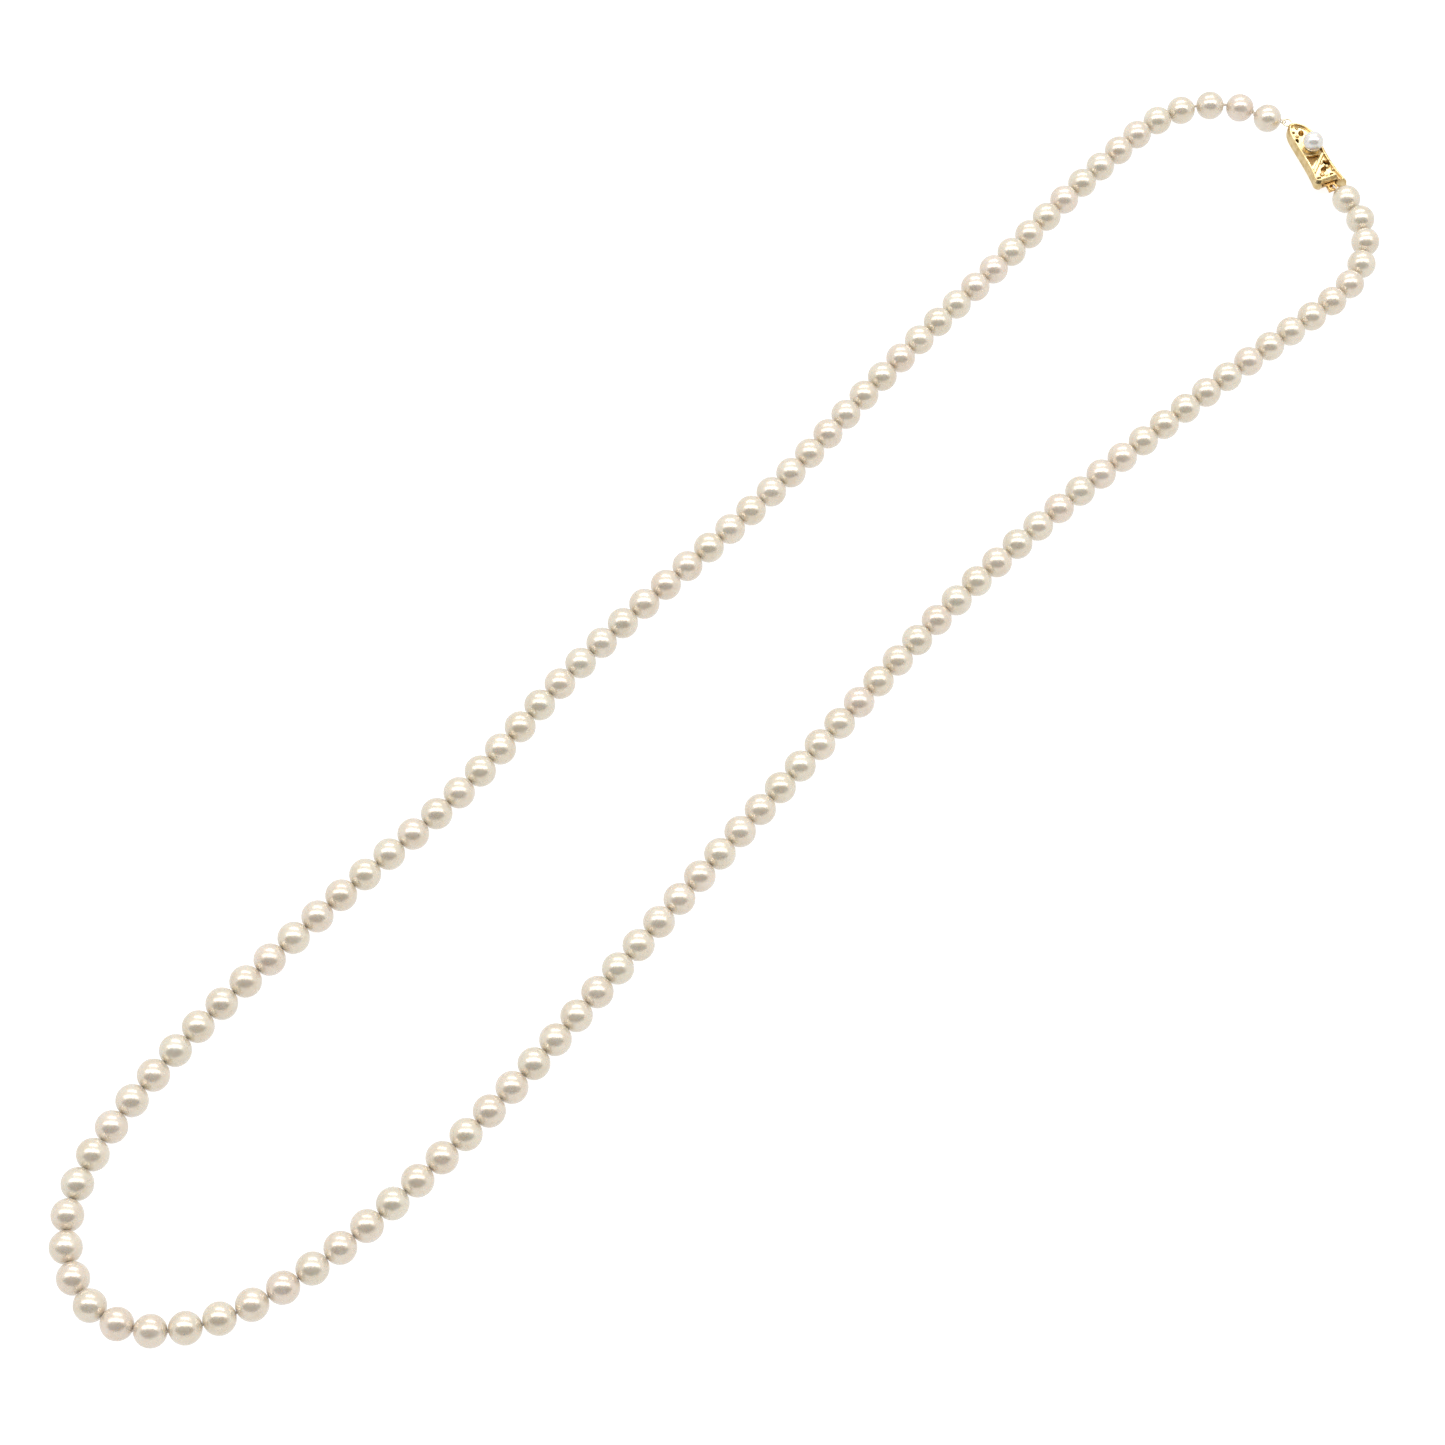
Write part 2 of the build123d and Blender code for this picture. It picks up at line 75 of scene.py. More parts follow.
# ---------------------------------------------------------------- sizes, in millimetres
CLASP_ORIGIN = Vector((-3.8285, 189.932, 0.0))
CLASP_TURN = math.radians(-23.8)
BACK_RADIUS = 3.15  # of the pearls beside the clasp
LINE_HEIGHT = 3.15  # of the clasp's ring and eye, level with those pearls' middles
RING_CENTRE = -2.3
RING_RADIUS = 1.0
EYE_CENTRE = 18.3
EYE_MIDDLE = 0.875  # from the eye's centre to the middle of its rim

SEGMENTS = 40  # points round a pearl's drilled axis
RINGS = 26  # steps over a pearl, from one mouth of its hole to the other
SKIN = 0.01  # how far a pearl's finish stands proud of its solid
BORE_RADIUS = 0.3
LIP = 0.04  # rounding at the mouth of a drilled hole
LIP_TURNS = [math.radians(turn) for turn in (0, 30, 60)]
OUT_OF_ROUND = 0.012  # the most that a pearl is squeezed, as a share of its radius
LUMP = 0.002  # the most that each of its three waves takes off, as a share too

SILK_RADIUS = 0.25
SILK_HEIGHT = 3.205
YARN_HOLLOW = 0.78  # radius between a yarn's two plies, as a share of its full radius
YARN_SWELL = 0.22  # the rest, out to the ply's back
KNOTTED_GAPS = 3  # all beside the ring end of the clasp
KNOT_YARN = 0.11
KNOT_REACH = 0.19
KNOT_WAVE = 0.07
KNOT_DEPTH = 0.12  # along the thread, to each side of the knot's middle
LOOP_YARN = 0.15
LOOP_BEND = 0.6
LOOP_EXCESS = 0.05  # from the middle of the held wire on to the centre of the bend
LEG_OFFSET = 0.17  # of each leg from the axis of the drilled hole
LEG_LENGTH = 1.0  # the straight part of a leg, inside the pearl
FLARE_START = 0.15  # how deep inside the hole the legs begin to spread

FOLD_START = 5.62
FOLD_HEIGHT = 2.985
FOLD_BEND = 0.36
FOLD_LAP = 0.25  # how far the fold's straight part runs on toward the eye
FOLD_HALF_WIDTH = 1.42
FOLD_END = ((0.0, 0.12), (0.1, 0.03), (0.3, 0))  # distance from an end, and the shrink there

PEG_HOLE_RADIUS = 0.44
PEG_HOLE_DEPTH = 0.6  # the part of the peg's hole that is modelled
CLASP_PEARL_SEGMENTS = 48
CLASP_PEARL_RINGS = 32
CLASP_PEARL_SQUEEZE = 0.004


def clasp_point(along, across=0.0, height=0.0):
    """A point of the clasp's own frame, in the necklace's frame, in millimetres."""
    turn = Matrix.Rotation(CLASP_TURN, 3, "Z")
    return CLASP_ORIGIN + turn @ Vector((along, across, height))


RING_POINT = clasp_point(RING_CENTRE, 0, LINE_HEIGHT)
EYE_POINT = clasp_point(EYE_CENTRE, 0, LINE_HEIGHT)


# ---------------------------------------------------------------- node helpers
def material(name):
    """A new material with its node tree and its main shader."""
    mat = bpy.data.materials.new(name)
    mat.use_nodes = True
    tree = mat.node_tree
    return mat, tree, tree.nodes["Principled BSDF"]


def settle(node, **values):
    """Plain values on a shader node's named sockets."""
    for key, value in values.items():
        node.inputs[key.replace("_", " ")].default_value = value


def object_coordinates(tree):
    return tree.nodes.new("ShaderNodeTexCoord").outputs["Object"]


def noise(tree, coordinates, scale, detail=3.0, roughness=0.5):
    """Cloudy noise with about scale waves to a metre."""
    node = tree.nodes.new("ShaderNodeTexNoise")
    settle(node, Scale=scale, Detail=detail, Roughness=roughness)
    tree.links.new(coordinates, node.inputs["Vector"])
    return node.outputs["Fac"]


def ramp(tree, factor, stops):
    """A colour ramp through (position, colour) stops."""
    node = tree.nodes.new("ShaderNodeValToRGB")
    while len(node.color_ramp.elements) < len(stops):
        node.color_ramp.elements.new(0.5)
    for element, (position, colour) in zip(node.color_ramp.elements, stops):
        element.position = position
        element.color = (*colour, 1)
    tree.links.new(factor, node.inputs["Fac"])
    return node.outputs["Color"]


def spread(tree, factor, low, high, start=0.0, end=1.0):
    """Maps a factor from start..end to low..high."""
    node = tree.nodes.new("ShaderNodeMapRange")
    settle(node, From_Min=start, From_Max=end, To_Min=low, To_Max=high)
    tree.links.new(factor, node.inputs["Value"])
    return node.outputs["Result"]


def mixed(tree, factor, first, second, blend="MIX"):
    """Two colours mixed by a factor; each of the three is a plain value or a socket."""
    node = tree.nodes.new("ShaderNodeMix")
    node.data_type = "RGBA"
    node.blend_type = blend
    for value, socket in ((factor, node.inputs[0]), (first, node.inputs[6]), (second, node.inputs[7])):
        if isinstance(value, bpy.types.NodeSocket):
            tree.links.new(value, socket)
        elif isinstance(value, tuple):
            socket.default_value = (*value, 1)
        else:
            socket.default_value = value
    return node.outputs[2]


def bump(tree, height, strength, distance, below=None):
    """Surface relief from a height, laid over the relief below it."""
    node = tree.nodes.new("ShaderNodeBump")
    settle(node, Strength=strength, Distance=distance)
    tree.links.new(height, node.inputs["Height"])
    if below is not None:
        tree.links.new(below, node.inputs["Normal"])
    return node.outputs["Normal"]


# ---------------------------------------------------------------- materials
NACRE_METALLIC = 0.5
CLOUD_SHADE = (0.93, 0.90, 0.86)
# dark red gold painted into hollows as shade
HOLLOW_SHADE_GOLD = (0.46, 0.27, 0.08)
YELLOW = (0.88, 0.70, 0.39)
OLD_YELLOW = (0.68, 0.50, 0.22)


def nacre(name, pale, rose, green, lift):
    """Pearl nacre: a pale body with rose and green overtones, cloudy depth and a soft lustre."""
    mat, tree, shader = material(name)
    where = object_coordinates(tree)
    overtone = tree.nodes.new("ShaderNodeVertexColor")
    overtone.layer_name = "overtone"
    parts = tree.nodes.new("ShaderNodeSeparateColor")
    tree.links.new(overtone.outputs["Color"], parts.inputs["Color"])
    cloud = noise(tree, where, 260, 2.0)
    swirl = noise(tree, where, 900, 3.0)
    body = mixed(tree, parts.outputs["Red"], pale, rose)
    body = mixed(tree, parts.outputs["Green"], body, green)
    deep = mixed(tree, 1.0, body, CLOUD_SHADE, "MULTIPLY")
    body = mixed(tree, spread(tree, cloud, 0.0, 1.0, 0.35, 0.65), body, deep)
    body = mixed(tree, spread(tree, swirl, 0.0, 0.35, 0.4, 0.7), body, lift)
    tree.links.new(body, shader.inputs["Base Color"])
    tree.links.new(spread(tree, noise(tree, where, 600), 0.22, 0.34), shader.inputs["Roughness"])
    settle(shader, Metallic=NACRE_METALLIC, IOR=1.6)
    settle(shader, Subsurface_Weight=0.6, Subsurface_Radius=(1.0, 0.75, 0.5), Subsurface_Scale=0.0022)
    settle(shader, Coat_Weight=0.8, Coat_Roughness=0.23, Coat_IOR=1.6)
    settle(shader, Sheen_Weight=0.08, Sheen_Roughness=0.4, Sheen_Tint=(1.0, 0.90, 0.86, 1))
    waves = bump(tree, noise(tree, where, 320, 1.0), 0.07, 0.00030)
    growth = bump(tree, noise(tree, where, 1400, 2.0), 0.03, 0.00006, waves)
    pits = tree.nodes.new("ShaderNodeTexVoronoi")
    settle(pits, Scale=330)
    tree.links.new(where, pits.inputs["Vector"])
    dimple = spread(tree, pits.outputs["Distance"], 0.0, 1.0, 0.0, 0.06)
    tree.links.new(bump(tree, dimple, 0.03, 0.00005, growth), shader.inputs["Normal"])
    return mat


def silk_material():
    """Cream silk: a fine satin yarn with fibres that catch the light."""
    mat, tree, shader = material("silk_cream")
    fibre = noise(tree, object_coordinates(tree), 9000, 4.0)
    colour = ramp(tree, fibre, [(0.3, (0.62, 0.53, 0.42)), (0.7, (0.80, 0.73, 0.62))])
    tree.links.new(colour, shader.inputs["Base Color"])
    tree.links.new(spread(tree, fibre, 0.45, 0.65), shader.inputs["Roughness"])
    settle(shader, Sheen_Weight=0.4, Sheen_Roughness=0.35)
    tree.links.new(bump(tree, fibre, 0.4, 0.00003), shader.inputs["Normal"])
    return mat


def gold(name, roughness, grain, bright, worn):
    """Yellow gold: mottled, with a cast grain, fine scratches and painted shade that turns its hollows
    darker and redder.
    """
    mat, tree, shader = material(name)
    where = object_coordinates(tree)
    wear = noise(tree, where, 700, 5.0, 0.6)
    stain = noise(tree, where, 260, 3.0)
    colour = ramp(tree, wear, [(0.36, worn), (0.56, bright)])
    # Painted shade: hollows, found by the mesh's pointiness, are mixed toward a dark red gold.
    edges = tree.nodes.new("ShaderNodeNewGeometry").outputs["Pointiness"]
    painted_hollow_shade = spread(tree, edges, 1.0, 0.0, 0.40, 0.50)
    tree.links.new(mixed(tree, painted_hollow_shade, colour, HOLLOW_SHADE_GOLD), shader.inputs["Base Color"])
    settle(shader, Metallic=1.0)
    tree.links.new(spread(tree, stain, roughness - 0.06, roughness + 0.10), shader.inputs["Roughness"])
    scratches = tree.nodes.new("ShaderNodeTexWave")
    settle(scratches, Scale=2600, Distortion=12, Detail=3)
    tree.links.new(where, scratches.inputs["Vector"])
    rough_cast = bump(tree, wear, grain, 0.00012)
    tree.links.new(bump(tree, scratches.outputs["Fac"], 0.03, 0.00002, rough_cast), shader.inputs["Normal"])
    return mat


strand_nacre = nacre(
    "nacre_cream",
    pale=(0.74, 0.68, 0.565),
    rose=(0.75, 0.66, 0.575),
    green=(0.71, 0.675, 0.565),
    lift=(0.80, 0.74, 0.64),
)
clasp_nacre = nacre(
    "nacre_white",
    pale=(0.76, 0.75, 0.73),
    rose=(0.76, 0.73, 0.72),
    green=(0.72, 0.74, 0.72),
    lift=(0.84, 0.84, 0.83),
)
silk = silk_material()
cast_gold = gold("gold_cast", 0.3, 0.55, YELLOW, OLD_YELLOW)
sheet_gold = gold("gold_sheet", 0.24, 0.08, YELLOW, OLD_YELLOW)
# A darker, redder copy of the gold: painted shade for the tongue plate, the tongue leaf and the back plate,
# which sit inside and under the clasp.
shade_painted_gold = gold("gold_shade_painted", 0.36, 0.15, (0.76, 0.50, 0.21), (0.60, 0.37, 0.13))
wire_gold = gold("gold_wire", 0.3, 0.1, (0.95, 0.84, 0.62), (0.84, 0.70, 0.46))


# ---------------------------------------------------------------- mesh helpers
def new_piece(name, data, mat, body):
    """A smooth shaded piece that rides on a body."""
    data.materials.append(mat)
    data.shade_smooth()
    piece = bpy.data.objects.new(name, data)
    scene.collection.objects.link(piece)
    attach(piece, body)
    return piece


def mesh_data(mesh, name):
    """A finished mesh as data that an object can show."""
    data = bpy.data.meshes.new(name)
    mesh.to_mesh(data)
    mesh.free()
    return data


def solid_data(mesh, name):
    """The same for a closed shape, with its faces turned outward."""
    bmesh.ops.recalc_face_normals(mesh, faces=mesh.faces)
    return mesh_data(mesh, name)


def skinned(mesh, rows):
    """The faces between neighbouring rows of points, each row closed on itself."""
    faces = []
    for low, high in zip(rows, rows[1:]):
        for step in range(len(low)):
            after = (step + 1) % len(low)
            faces.append(mesh.faces.new((low[step], low[after], high[after], high[step])))
    return faces


def painted(faces, layer, colour):
    """One vertex colour over all the faces."""
    for face in faces:
        for corner in face.loops:
            corner[layer] = colour


def islands(node):
    """The separate bodies of a CAD node, each as its list of points in millimetres."""
    mesh = bmesh.new()
    mesh.from_mesh(nodes[node].data)
    bmesh.ops.remove_doubles(mesh, verts=mesh.verts, dist=1e-7)
    seen = set()
    found = []
    for start in mesh.verts:
        if start in seen:
            continue
        group = []
        waiting = [start]
        seen.add(start)
        while waiting:
            vertex = waiting.pop()
            group.append(vertex.co / MM)
            for edge in vertex.link_edges:
                other = edge.other_vert(vertex)
                if other not in seen:
                    seen.add(other)
                    waiting.append(other)
        found.append(group)
    mesh.free()
    return found


def ball(points):
    """Centre and radius of a drilled ball whose hole is level."""
    low = Vector([min(p[i] for p in points) for i in range(3)])
    high = Vector([max(p[i] for p in points) for i in range(3)])
    return (low + high) / 2, (high.z - low.z) / 2


# ---------------------------------------------------------------- pearls
Pearl = namedtuple("Pearl", "node centre radius")
pearl_nodes = [f"pearls_left_{i}" for i in range(19, 0, -1)]
pearl_nodes += [f"pearls_front_{i}" for i in range(1, 6)]
pearl_nodes += [f"pearls_right_{i}" for i in range(1, 18)]


def pearls_in_order():
    """Every pearl, from the clasp's ring round the strand to the tongue's eye."""
    ordered = []
    last = RING_POINT
    for name in pearl_nodes:
        waiting = [Pearl(name, *ball(points)) for points in islands(name)]
        while waiting:
            nearest = min(waiting, key=lambda pearl: (pearl.centre - last).length)
            waiting.remove(nearest)
            ordered.append(nearest)
            last = nearest.centre
    return ordered


pearls = pearls_in_order()
LAST = len(pearls) - 1


def drill_direction(index):
    """Level direction of a pearl's hole, toward its neighbours or the clasp."""
    centre = pearls[index].centre
    if index == 0:
        along = centre - RING_POINT
    elif index == LAST:
        along = EYE_POINT - centre
    else:
        into = (centre - pearls[index - 1].centre).normalized()
        out = (pearls[index + 1].centre - centre).normalized()
        along = into + out
    return Vector((along.x, along.y, 0)).normalized()


directions = [drill_direction(i) for i in range(len(pearls))]


def bored_profile(radius):
    """Distance from the axis and place along it, from one mouth over the ball to the other."""
    start = math.asin((BORE_RADIUS + LIP) / radius)
    edge = radius * math.cos(start) - LIP
    lip = [(BORE_RADIUS + LIP * (1 - math.cos(turn)), edge + LIP * math.sin(turn)) for turn in LIP_TURNS]
    profile = [(BORE_RADIUS, 0.0)]
    profile += [(out, -place) for out, place in lip]
    for ring in range(RINGS + 1):
        angle = start + (math.pi - 2 * start) * ring / RINGS
        profile.append((radius * math.sin(angle), -radius * math.cos(angle)))
    return profile + lip[::-1]


def add_pearl(mesh, layer, index):
    """A drilled pearl, a little out of round, with its own overtone."""
    centre, along = pearls[index].centre, directions[index]
    chance = random.Random(100 + index)
    side = Vector((0, 0, 1)).cross(along).normalized()
    up = along.cross(side)
    flat = [chance.uniform(0.0, OUT_OF_ROUND) for _ in range(2)]
    turn = chance.uniform(0, math.pi)
    lobes = [(chance.randint(2, 4), chance.uniform(0, 6.28), chance.uniform(0, LUMP)) for _ in range(3)]
    overtone = (chance.uniform(0, 1) ** 1.3, chance.uniform(0, 1) ** 2.2 * 0.6, chance.uniform(0, 1), 1)
    grown = pearls[index].radius + SKIN
    rows = []
    for out, place in bored_profile(grown):
        row = []
        for step in range(SEGMENTS):
            angle = 2 * math.pi * step / SEGMENTS
            share = out / grown
            lump = sum(size * math.cos(count * angle + phase + 2 * place) for count, phase, size in lobes)
            squeeze = flat[0] * math.cos(angle - turn) ** 2 + flat[1] * (place / grown) ** 2 * share
            reach = out * (1 - share**2 * (squeeze + abs(lump)))
            point = centre + along * place + (side * math.cos(angle) + up * math.sin(angle)) * reach
            row.append(mesh.verts.new(point * MM))
        rows.append(row)
    rows.append(rows[0])
    painted(skinned(mesh, rows), layer, overtone)


def pearl_node(name):
    """All the pearls of one CAD node in one piece."""
    mesh = bmesh.new()
    layer = mesh.loops.layers.float_color.new("overtone")
    for index, pearl in enumerate(pearls):
        if pearl.node == name:
            add_pearl(mesh, layer, index)
    data = solid_data(mesh, f"{name}_nacre")
    piece = new_piece(f"{name}_nacre", data, strand_nacre, node_body[name])
    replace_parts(piece, name)


for name in pearl_nodes:
    pearl_node(name)


# ---------------------------------------------------------------- silk
def tube(mesh, path, radius, twist, sides=12, closed=False):
    """A two-ply yarn along a path: a lobed section that turns by twist radians a millimetre."""
    rows = []
    travelled = 0.0
    count = len(path)
    up = Vector((0, 0, 1))
    for index, point in enumerate(path):
        before = path[index - 1] if index > 0 or closed else path[index]
        after = path[(index + 1) % count] if index < count - 1 or closed else path[index]
        ahead = (after - before).normalized()
        side = ahead.cross(up)
        side = side.normalized() if side.length > 1e-4 else Vector((1, 0, 0))
        up = side.cross(ahead).normalized()
        if index:
            travelled += (point - path[index - 1]).length
        row = []
        for step in range(sides):
            angle = 2 * math.pi * step / sides
            reach = radius * (YARN_HOLLOW + YARN_SWELL * abs(math.cos(angle - twist * travelled)))
            outward = (side * math.cos(angle) + up * math.sin(angle)) * reach
            row.append(mesh.verts.new((point + outward) * MM))
        rows.append(row)
    if closed:
        rows.append(rows[0])
    skinned(mesh, rows)
    if not closed:
        mesh.faces.new(list(reversed(rows[0])))
        mesh.faces.new(rows[-1])


def divided(points, step):
    """The same path with points no further apart than a step."""
    path = [points[0]]
    for start, end in zip(points, points[1:]):
        count = max(1, math.ceil((end - start).length / step))
        path += [start.lerp(end, k / count) for k in range(1, count + 1)]
    return path


def at_silk(point):
    """The same place at the height of the thread."""
    return Vector((point.x, point.y, SILK_HEIGHT))


def mouth(index, sign):
    """The middle of a drilled opening: sign 1 for the leaving end, -1 for the entering end."""
    return at_silk(pearls[index].centre + directions[index] * pearls[index].radius * sign)


def gap_middle(index):
    """Half way between two neighbouring pearls' surfaces."""
    first, second = pearls[index], pearls[index + 1]
    ahead = (second.centre - first.centre).normalized()
    return at_silk((first.centre + ahead * first.radius + second.centre - ahead * second.radius) / 2)


def thread_route(members):
    """The thread through a run of pearls, from the gap before them to the gap after them."""
    first, final = members[0], members[-1]
    route = [at_silk(pearls[0].centre) if first == 0 else gap_middle(first - 1)]
    for index in members:
        if index > 0:
            route.append(mouth(index, -1))
        if index < LAST:
            route.append(mouth(index, 1))
    route.append(at_silk(pearls[LAST].centre) if final == LAST else gap_middle(final))
    return route


def add_knot(mesh, gap):
    """An overhand knot drawn tight: a closed trefoil of the same yarn round the thread."""
    start, end = mouth(gap, 1), mouth(gap + 1, -1)
    middle = (start + end) / 2
    ahead = (end - start).normalized()
    side = ahead.cross(Vector((0, 0, 1))).normalized()
    top = side.cross(ahead)
    path = []
    for step in range(72):
        angle = 2 * math.pi * step / 72
        reach = KNOT_REACH + KNOT_WAVE * math.cos(3 * angle)
        path.append(
            middle
            + side * reach * math.cos(2 * angle)
            + top * reach * math.sin(2 * angle)
            + ahead * KNOT_DEPTH * math.sin(3 * angle)
        )
    tube(mesh, path, KNOT_YARN, twist=9.0, sides=8, closed=True)


def add_end_loop(mesh, inside, holder, back):
    """The hairpin from inside an end pearl to the wire or rim that lies back from the holder's centre."""
    hold = holder - (holder - inside).normalized() * back
    ahead = Vector((hold.x - inside.x, hold.y - inside.y, 0))
    reach = ahead.length + LOOP_EXCESS
    ahead = ahead.normalized()
    flare = BACK_RADIUS - FLARE_START
    span = math.hypot(reach - flare, LEG_OFFSET)
    lean = math.asin(LOOP_BEND / span) - math.atan2(LEG_OFFSET, reach - flare)
    leg = [(flare - LEG_LENGTH, LEG_OFFSET), (flare, LEG_OFFSET)]
    first = math.pi / 2 + lean
    bend = []
    for step in range(13):
        angle = first - 2 * first * step / 12
        bend.append((reach + LOOP_BEND * math.cos(angle), LOOP_BEND * math.sin(angle)))
    flat = leg + bend + [(x, -z) for x, z in reversed(leg)]
    points = [inside + ahead * x + Vector((0, 0, z)) for x, z in flat]
    tube(mesh, divided(points, step=0.12), LOOP_YARN, twist=7.0, sides=10)


def silk_piece(body):
    """The thread, knots and end loop that one body of the strand carries."""
    members = [i for i, pearl in enumerate(pearls) if node_body[pearl.node] == body]
    mesh = bmesh.new()
    tube(mesh, divided(thread_route(members), step=0.45), SILK_RADIUS, twist=2.2)
    replaced = ["silk_thread"]
    if members[0] == 0:
        for gap in range(KNOTTED_GAPS):
            add_knot(mesh, gap)
        add_end_loop(mesh, pearls[0].centre, RING_POINT, RING_RADIUS)
        replaced += ["silk_knots_left", "silk_loop_left"]
    if members[-1] == LAST:
        add_end_loop(mesh, pearls[LAST].centre, EYE_POINT, EYE_MIDDLE)
        replaced += ["silk_loop_right"]
    data = solid_data(mesh, f"silk_{body}")
    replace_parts(new_piece(f"silk_{body}", data, silk, body), *replaced)


for body in dict.fromkeys(node_body[pearl.node] for pearl in pearls):
    silk_piece(body)


# ---------------------------------------------------------------- clasp
def cast_copy(node, voxel, rounds):
    """The casting with its edges worn round: the solid remeshed and smoothed."""
    data = nodes[node].data.copy()
    piece = bpy.data.objects.new(f"{node}_worn", data)
    scene.collection.objects.link(piece)
    data.transform(Matrix.Scale(1 / MM, 4))
    weld = piece.modifiers.new("weld", "WELD")
    weld.merge_threshold = 1e-4
    remesh = piece.modifiers.new("remesh", "REMESH")
    remesh.mode = "VOXEL"
    remesh.voxel_size = voxel
    smooth = piece.modifiers.new("smooth", "SMOOTH")
    smooth.factor = 0.5
    smooth.iterations = rounds
    final = bpy.data.meshes.new_from_object(piece.evaluated_get(bpy.context.evaluated_depsgraph_get()))
    bpy.data.objects.remove(piece)
    final.transform(Matrix.Scale(MM, 4))
    final.materials.clear()
    return final


# Each casting with its voxel size in millimetres, its rounds of smoothing and its gold.
CASTINGS = (
    ("clasp_housing", 0.07, 5, cast_gold),
    ("clasp_pearl_cup", 0.05, 3, cast_gold),
    ("tongue_plate", 0.06, 2, shade_painted_gold),
)
for node, voxel, rounds, mat in CASTINGS:
    worn = new_piece(f"{node}_worn", cast_copy(node, voxel, rounds), mat, node_body[node])
    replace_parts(worn, node)

SHEET_LOOKS = {
    "clasp_back_plate": shade_painted_gold,
    "clasp_catch_lugs": sheet_gold,
    "clasp_ring": wire_gold,
    "clasp_pearl_peg": sheet_gold,
    "tongue_leaf": shade_painted_gold,
}
for node, mat in SHEET_LOOKS.items():
    nodes[node].data.materials.clear()
    nodes[node].data.materials.append(mat)


def folded_nose():
    """The rounded fold that joins the tongue's plate to its leaf."""
    outline = []
    for step in range(11):
        angle = math.pi / 2 + math.pi * step / 10
        outline.append((FOLD_START + FOLD_BEND * math.cos(angle), FOLD_HEIGHT + FOLD_BEND * math.sin(angle)))
    outline.append((FOLD_START + FOLD_LAP, FOLD_HEIGHT - FOLD_BEND))
    outline.append((FOLD_START + FOLD_LAP, FOLD_HEIGHT + FOLD_BEND))
    stations = [(-FOLD_HALF_WIDTH + inward, shrink) for inward, shrink in FOLD_END]
    stations += [(FOLD_HALF_WIDTH - inward, shrink) for inward, shrink in reversed(FOLD_END)]
    mesh = bmesh.new()
    rows = []
    for across, shrink in stations:
        row = []
        for along, height in outline:
            drawn_along = along + (FOLD_START - along) * shrink
            drawn_height = height + (FOLD_HEIGHT - height) * shrink
            row.append(mesh.verts.new(clasp_point(drawn_along, across, drawn_height) * MM))
        rows.append(row)
    skinned(mesh, rows)
    mesh.faces.new(rows[0])
    mesh.faces.new(rows[-1])
    new_piece("tongue_fold", solid_data(mesh, "tongue_fold"), sheet_gold, "tongue")


folded_nose()


def clasp_pearl_piece():
    """The clasp's own pearl, drilled from below."""
    low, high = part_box("clasp_pearl")
    centre = (low + high) / 2 / MM
    radius = (high.x - low.x) / 2 / MM
    start = math.asin(PEG_HOLE_RADIUS / radius)
    mesh = bmesh.new()
    layer = mesh.loops.layers.float_color.new("overtone")
    chance = random.Random(7)
    overtone = (0.3, 0.2, chance.random(), 1)
    rows = []
    for ring in range(CLASP_PEARL_RINGS + 1):
        angle = start + (math.pi - start) * ring / CLASP_PEARL_RINGS
        row = []
        for step in range(CLASP_PEARL_SEGMENTS):
            turn = 2 * math.pi * step / CLASP_PEARL_SEGMENTS
            reach = radius * math.sin(angle) * (1 - CLASP_PEARL_SQUEEZE * math.cos(2 * turn) ** 2)
            spot = Vector((reach * math.cos(turn), reach * math.sin(turn), -radius * math.cos(angle)))
            row.append(mesh.verts.new((centre + spot) * MM))
        rows.append(row)
    bore = Vector((0, 0, PEG_HOLE_DEPTH * MM))
    rows.insert(0, [mesh.verts.new(vertex.co + bore) for vertex in rows[0]])
    painted(skinned(mesh, rows), layer, overtone)
    bmesh.ops.remove_doubles(mesh, verts=mesh.verts, dist=1e-8)
    data = solid_data(mesh, "clasp_pearl_nacre")
    piece = new_piece("clasp_pearl_nacre", data, clasp_nacre, node_body["clasp_pearl"])
    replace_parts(piece, "clasp_pearl")


clasp_pearl_piece()

# ---------------------------------------------------------------- studio, in metres
FLOOR_RADIUS = 4.0
FLOOR_DROP = 0.00005
LIGHT_DISTANCE = 1.3
CARD_DISTANCE = 1.25
CARD_ELEVATIONS = (16, 30, 45, 60, 73)
CARD_SWINGS = (-68, -34, 0, 34, 68)
IMAGE_RIGHT = Vector((0.7547, 0.6561, 0.0))
TOWARD_CAMERA = Vector((0.6561, -0.7547, 0.0))


def overhead(elevation, distance, swing=0):
    """A point at an elevation on the camera's side, 90 straight above, swung round the vertical."""
    angle = math.radians(elevation)
    flat = Matrix.Rotation(math.radians(swing), 3, "Z") @ TOWARD_CAMERA
    return flat * math.cos(angle) * distance + Vector((0, 0, math.sin(angle) * distance))


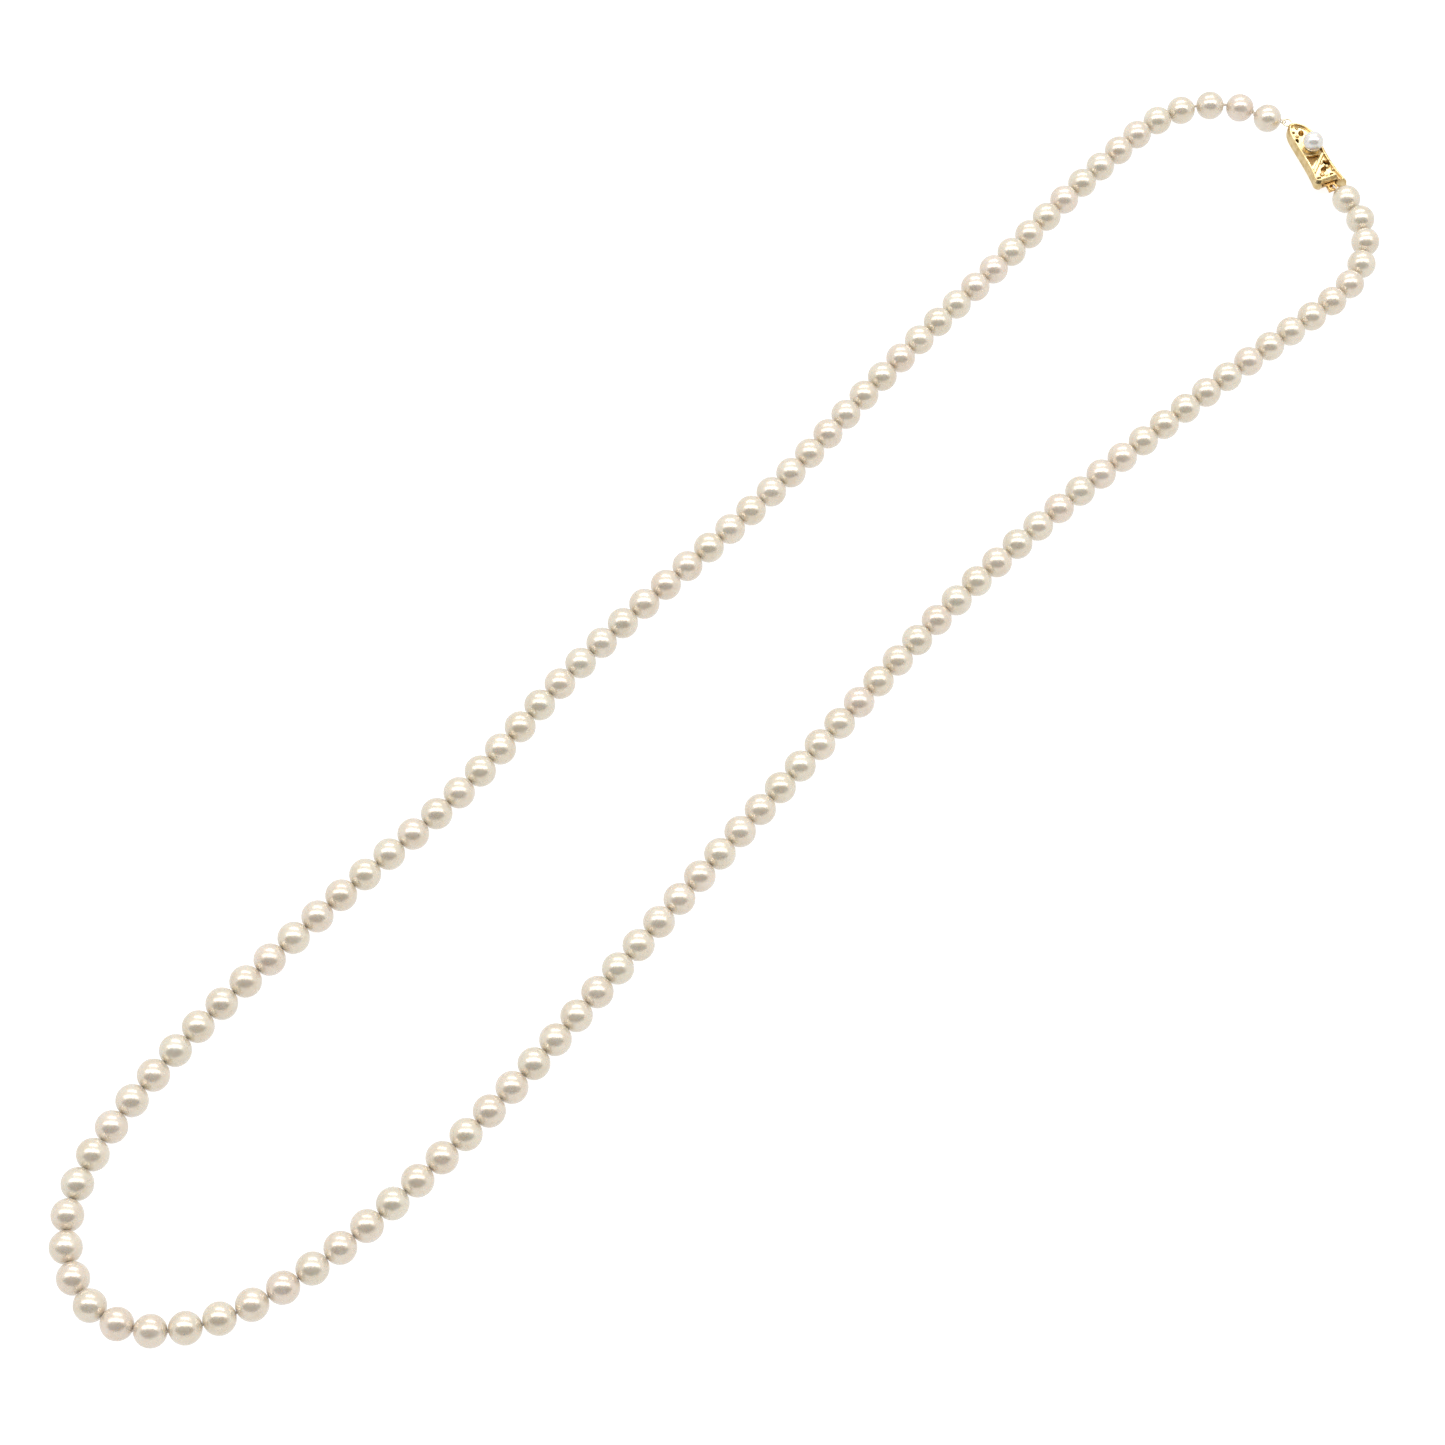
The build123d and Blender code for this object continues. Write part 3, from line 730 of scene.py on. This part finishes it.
def floor_piece():
    """A wide pale floor, almost white, with a paper's faint mottle."""
    mesh = bmesh.new()
    bmesh.ops.create_circle(mesh, cap_ends=True, segments=96, radius=FLOOR_RADIUS)
    data = mesh_data(mesh, "floor")
    mat, tree, shader = material("floor_paper")
    mottle = noise(tree, object_coordinates(tree), 40, 4.0)
    paper = ramp(tree, mottle, [(0.3, (0.40, 0.40, 0.40)), (0.7, (0.42, 0.42, 0.42))])
    tree.links.new(paper, shader.inputs["Base Color"])
    settle(shader, Roughness=0.9, Specular_IOR_Level=0.1)
    settle(shader, Emission_Color=(1, 1, 1, 1), Emission_Strength=0.8)
    data.materials.append(mat)
    floor = bpy.data.objects.new("floor", data)
    floor.location = (0, 0, -FLOOR_DROP)
    scene.collection.objects.link(floor)
    floor.visible_glossy = False


def softbox(name, elevation, length, width, strength):
    """A long soft light that lies along the image's width and faces the necklace."""
    place = overhead(elevation, LIGHT_DISTANCE)
    light = bpy.data.lights.new(name, "AREA")
    light.shape = "RECTANGLE"
    light.size = length
    light.size_y = width
    light.energy = strength
    lamp = bpy.data.objects.new(name, light)
    scene.collection.objects.link(lamp)
    back = place.normalized()
    upward = back.cross(IMAGE_RIGHT).normalized()
    turn = Matrix((IMAGE_RIGHT, upward, back)).transposed()
    lamp.matrix_world = Matrix.Translation(place) @ turn.to_4x4()


def dark_card():
    """A dark panel behind the camera, seen only in reflections."""
    mesh = bmesh.new()
    rows = []
    for elevation in CARD_ELEVATIONS:
        rows.append([mesh.verts.new(overhead(elevation, CARD_DISTANCE, swing)) for swing in CARD_SWINGS])
    for low, high in zip(rows, rows[1:]):
        for step in range(len(low) - 1):
            mesh.faces.new((low[step], low[step + 1], high[step + 1], high[step]))
    data = mesh_data(mesh, "dark_card")
    mat, _, shader = material("card_black")
    settle(shader, Base_Color=(0.02, 0.02, 0.02, 1), Roughness=1.0)
    data.materials.append(mat)
    card = bpy.data.objects.new("dark_card", data)
    scene.collection.objects.link(card)
    card.visible_camera = False
    card.visible_diffuse = False
    card.visible_shadow = False


floor_piece()

world = bpy.data.worlds.new("studio")
scene.world = world
world.use_nodes = True
settle(world.node_tree.nodes["Background"], Color=(1.0, 0.99, 0.98, 1), Strength=0.85)

softbox("light_above", 90, 3.0, 0.42, 12)
softbox("light_behind", 134, 1.2, 0.22, 4)
dark_card()
